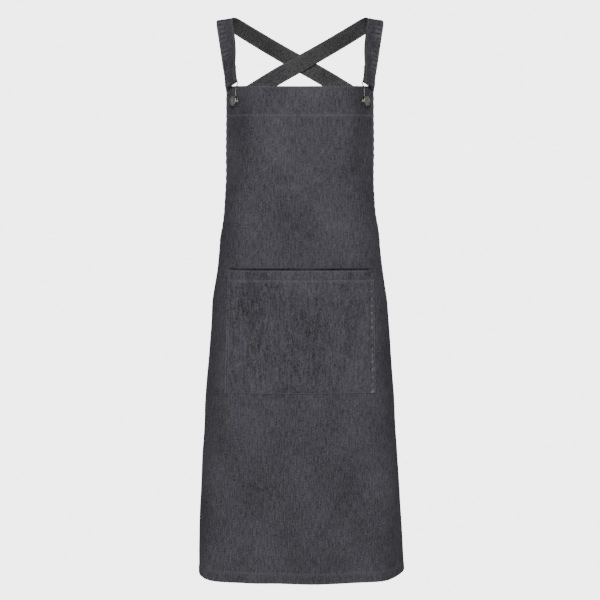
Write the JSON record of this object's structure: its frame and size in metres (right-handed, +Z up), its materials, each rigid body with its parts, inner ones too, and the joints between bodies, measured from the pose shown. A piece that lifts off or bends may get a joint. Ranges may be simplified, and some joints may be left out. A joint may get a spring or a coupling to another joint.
{
  "type": "cross-back bib apron",
  "caption": "Knee-length denim bib apron that wraps round the front and sides; crossed shoulder straps clip to buttons on the bib; wide patch pocket with a pen slot.",
  "frame": {"origin": "point midway between the wearer's shoulders, level with the undersides of the straps, on the upright axis of the body", "axes": "+X to the viewer's right, +Y from the front of the apron towards its back, +Z up; the apron hangs to -Z"},
  "size_m": [0.3656, 0.2354, 0.9925],
  "materials": {
    "denim": "washed charcoal denim, fine vertical slub, matt",
    "denim_reverse": "paler reverse of the same denim, matt",
    "clip_wire": "bright nickel-plated steel wire",
    "button_metal": "antique nickel, satin"
  },
  "bodies": {
    "root": {"apron_panel": "denim", "bib_facing": "denim_reverse", "bottom_hem": "denim_reverse", "pocket_patch": "denim", "pocket_top_hem": "denim_reverse", "left_side_hem": "denim_reverse", "left_strap_rear": "denim", "right_side_hem": "denim_reverse", "right_strap_rear": "denim"},
    "left_strap": {"left_strap_front": "denim", "left_strap_loop": "denim"},
    "left_clip": {"left_clip_wire": "clip_wire"},
    "left_button": {"left_button_cap": "button_metal", "left_button_shank": "button_metal", "left_button_tack": "button_metal"},
    "right_strap": {"right_strap_front": "denim", "right_strap_loop": "denim"},
    "right_clip": {"right_clip_wire": "clip_wire"},
    "right_button": {"right_button_cap": "button_metal", "right_button_shank": "button_metal", "right_button_tack": "button_metal"}
  },
  "joints": [
    {"name": "left_strap_swivel", "type": "hinge", "parent": "root", "child": "left_strap", "pos_m": [-0.1106, -0.07102, -0.14895], "axis": [-0.7803, -0.6164, 0.1056], "range_deg": [-8, 8], "stiffness_Nm_per_rad": 0.3},
    {"name": "left_clip_tilt", "type": "hinge", "parent": "left_strap", "child": "left_clip", "pos_m": [-0.11913, -0.06319, -0.1188], "axis": [-0.6084, 0.7091, -0.3564], "range_deg": [0, 2.6]},
    {"name": "left_button_spin", "type": "hinge", "parent": "root", "child": "left_button", "pos_m": [-0.1106, -0.07102, -0.14895], "axis": [-0.7803, -0.6164, 0.1056], "continuous": true},
    {"name": "right_strap_swivel", "type": "hinge", "parent": "root", "child": "right_strap", "pos_m": [0.1106, -0.07102, -0.14895], "axis": [0.7803, -0.6164, 0.1056], "range_deg": [-8, 8], "stiffness_Nm_per_rad": 0.3},
    {"name": "right_clip_tilt", "type": "hinge", "parent": "right_strap", "child": "right_clip", "pos_m": [0.11913, -0.06319, -0.1188], "axis": [-0.6084, -0.7091, 0.3564], "range_deg": [0, 2.6]},
    {"name": "right_button_spin", "type": "hinge", "parent": "root", "child": "right_button", "pos_m": [0.1106, -0.07102, -0.14895], "axis": [0.7803, -0.6164, 0.1056], "continuous": true}
  ]
}
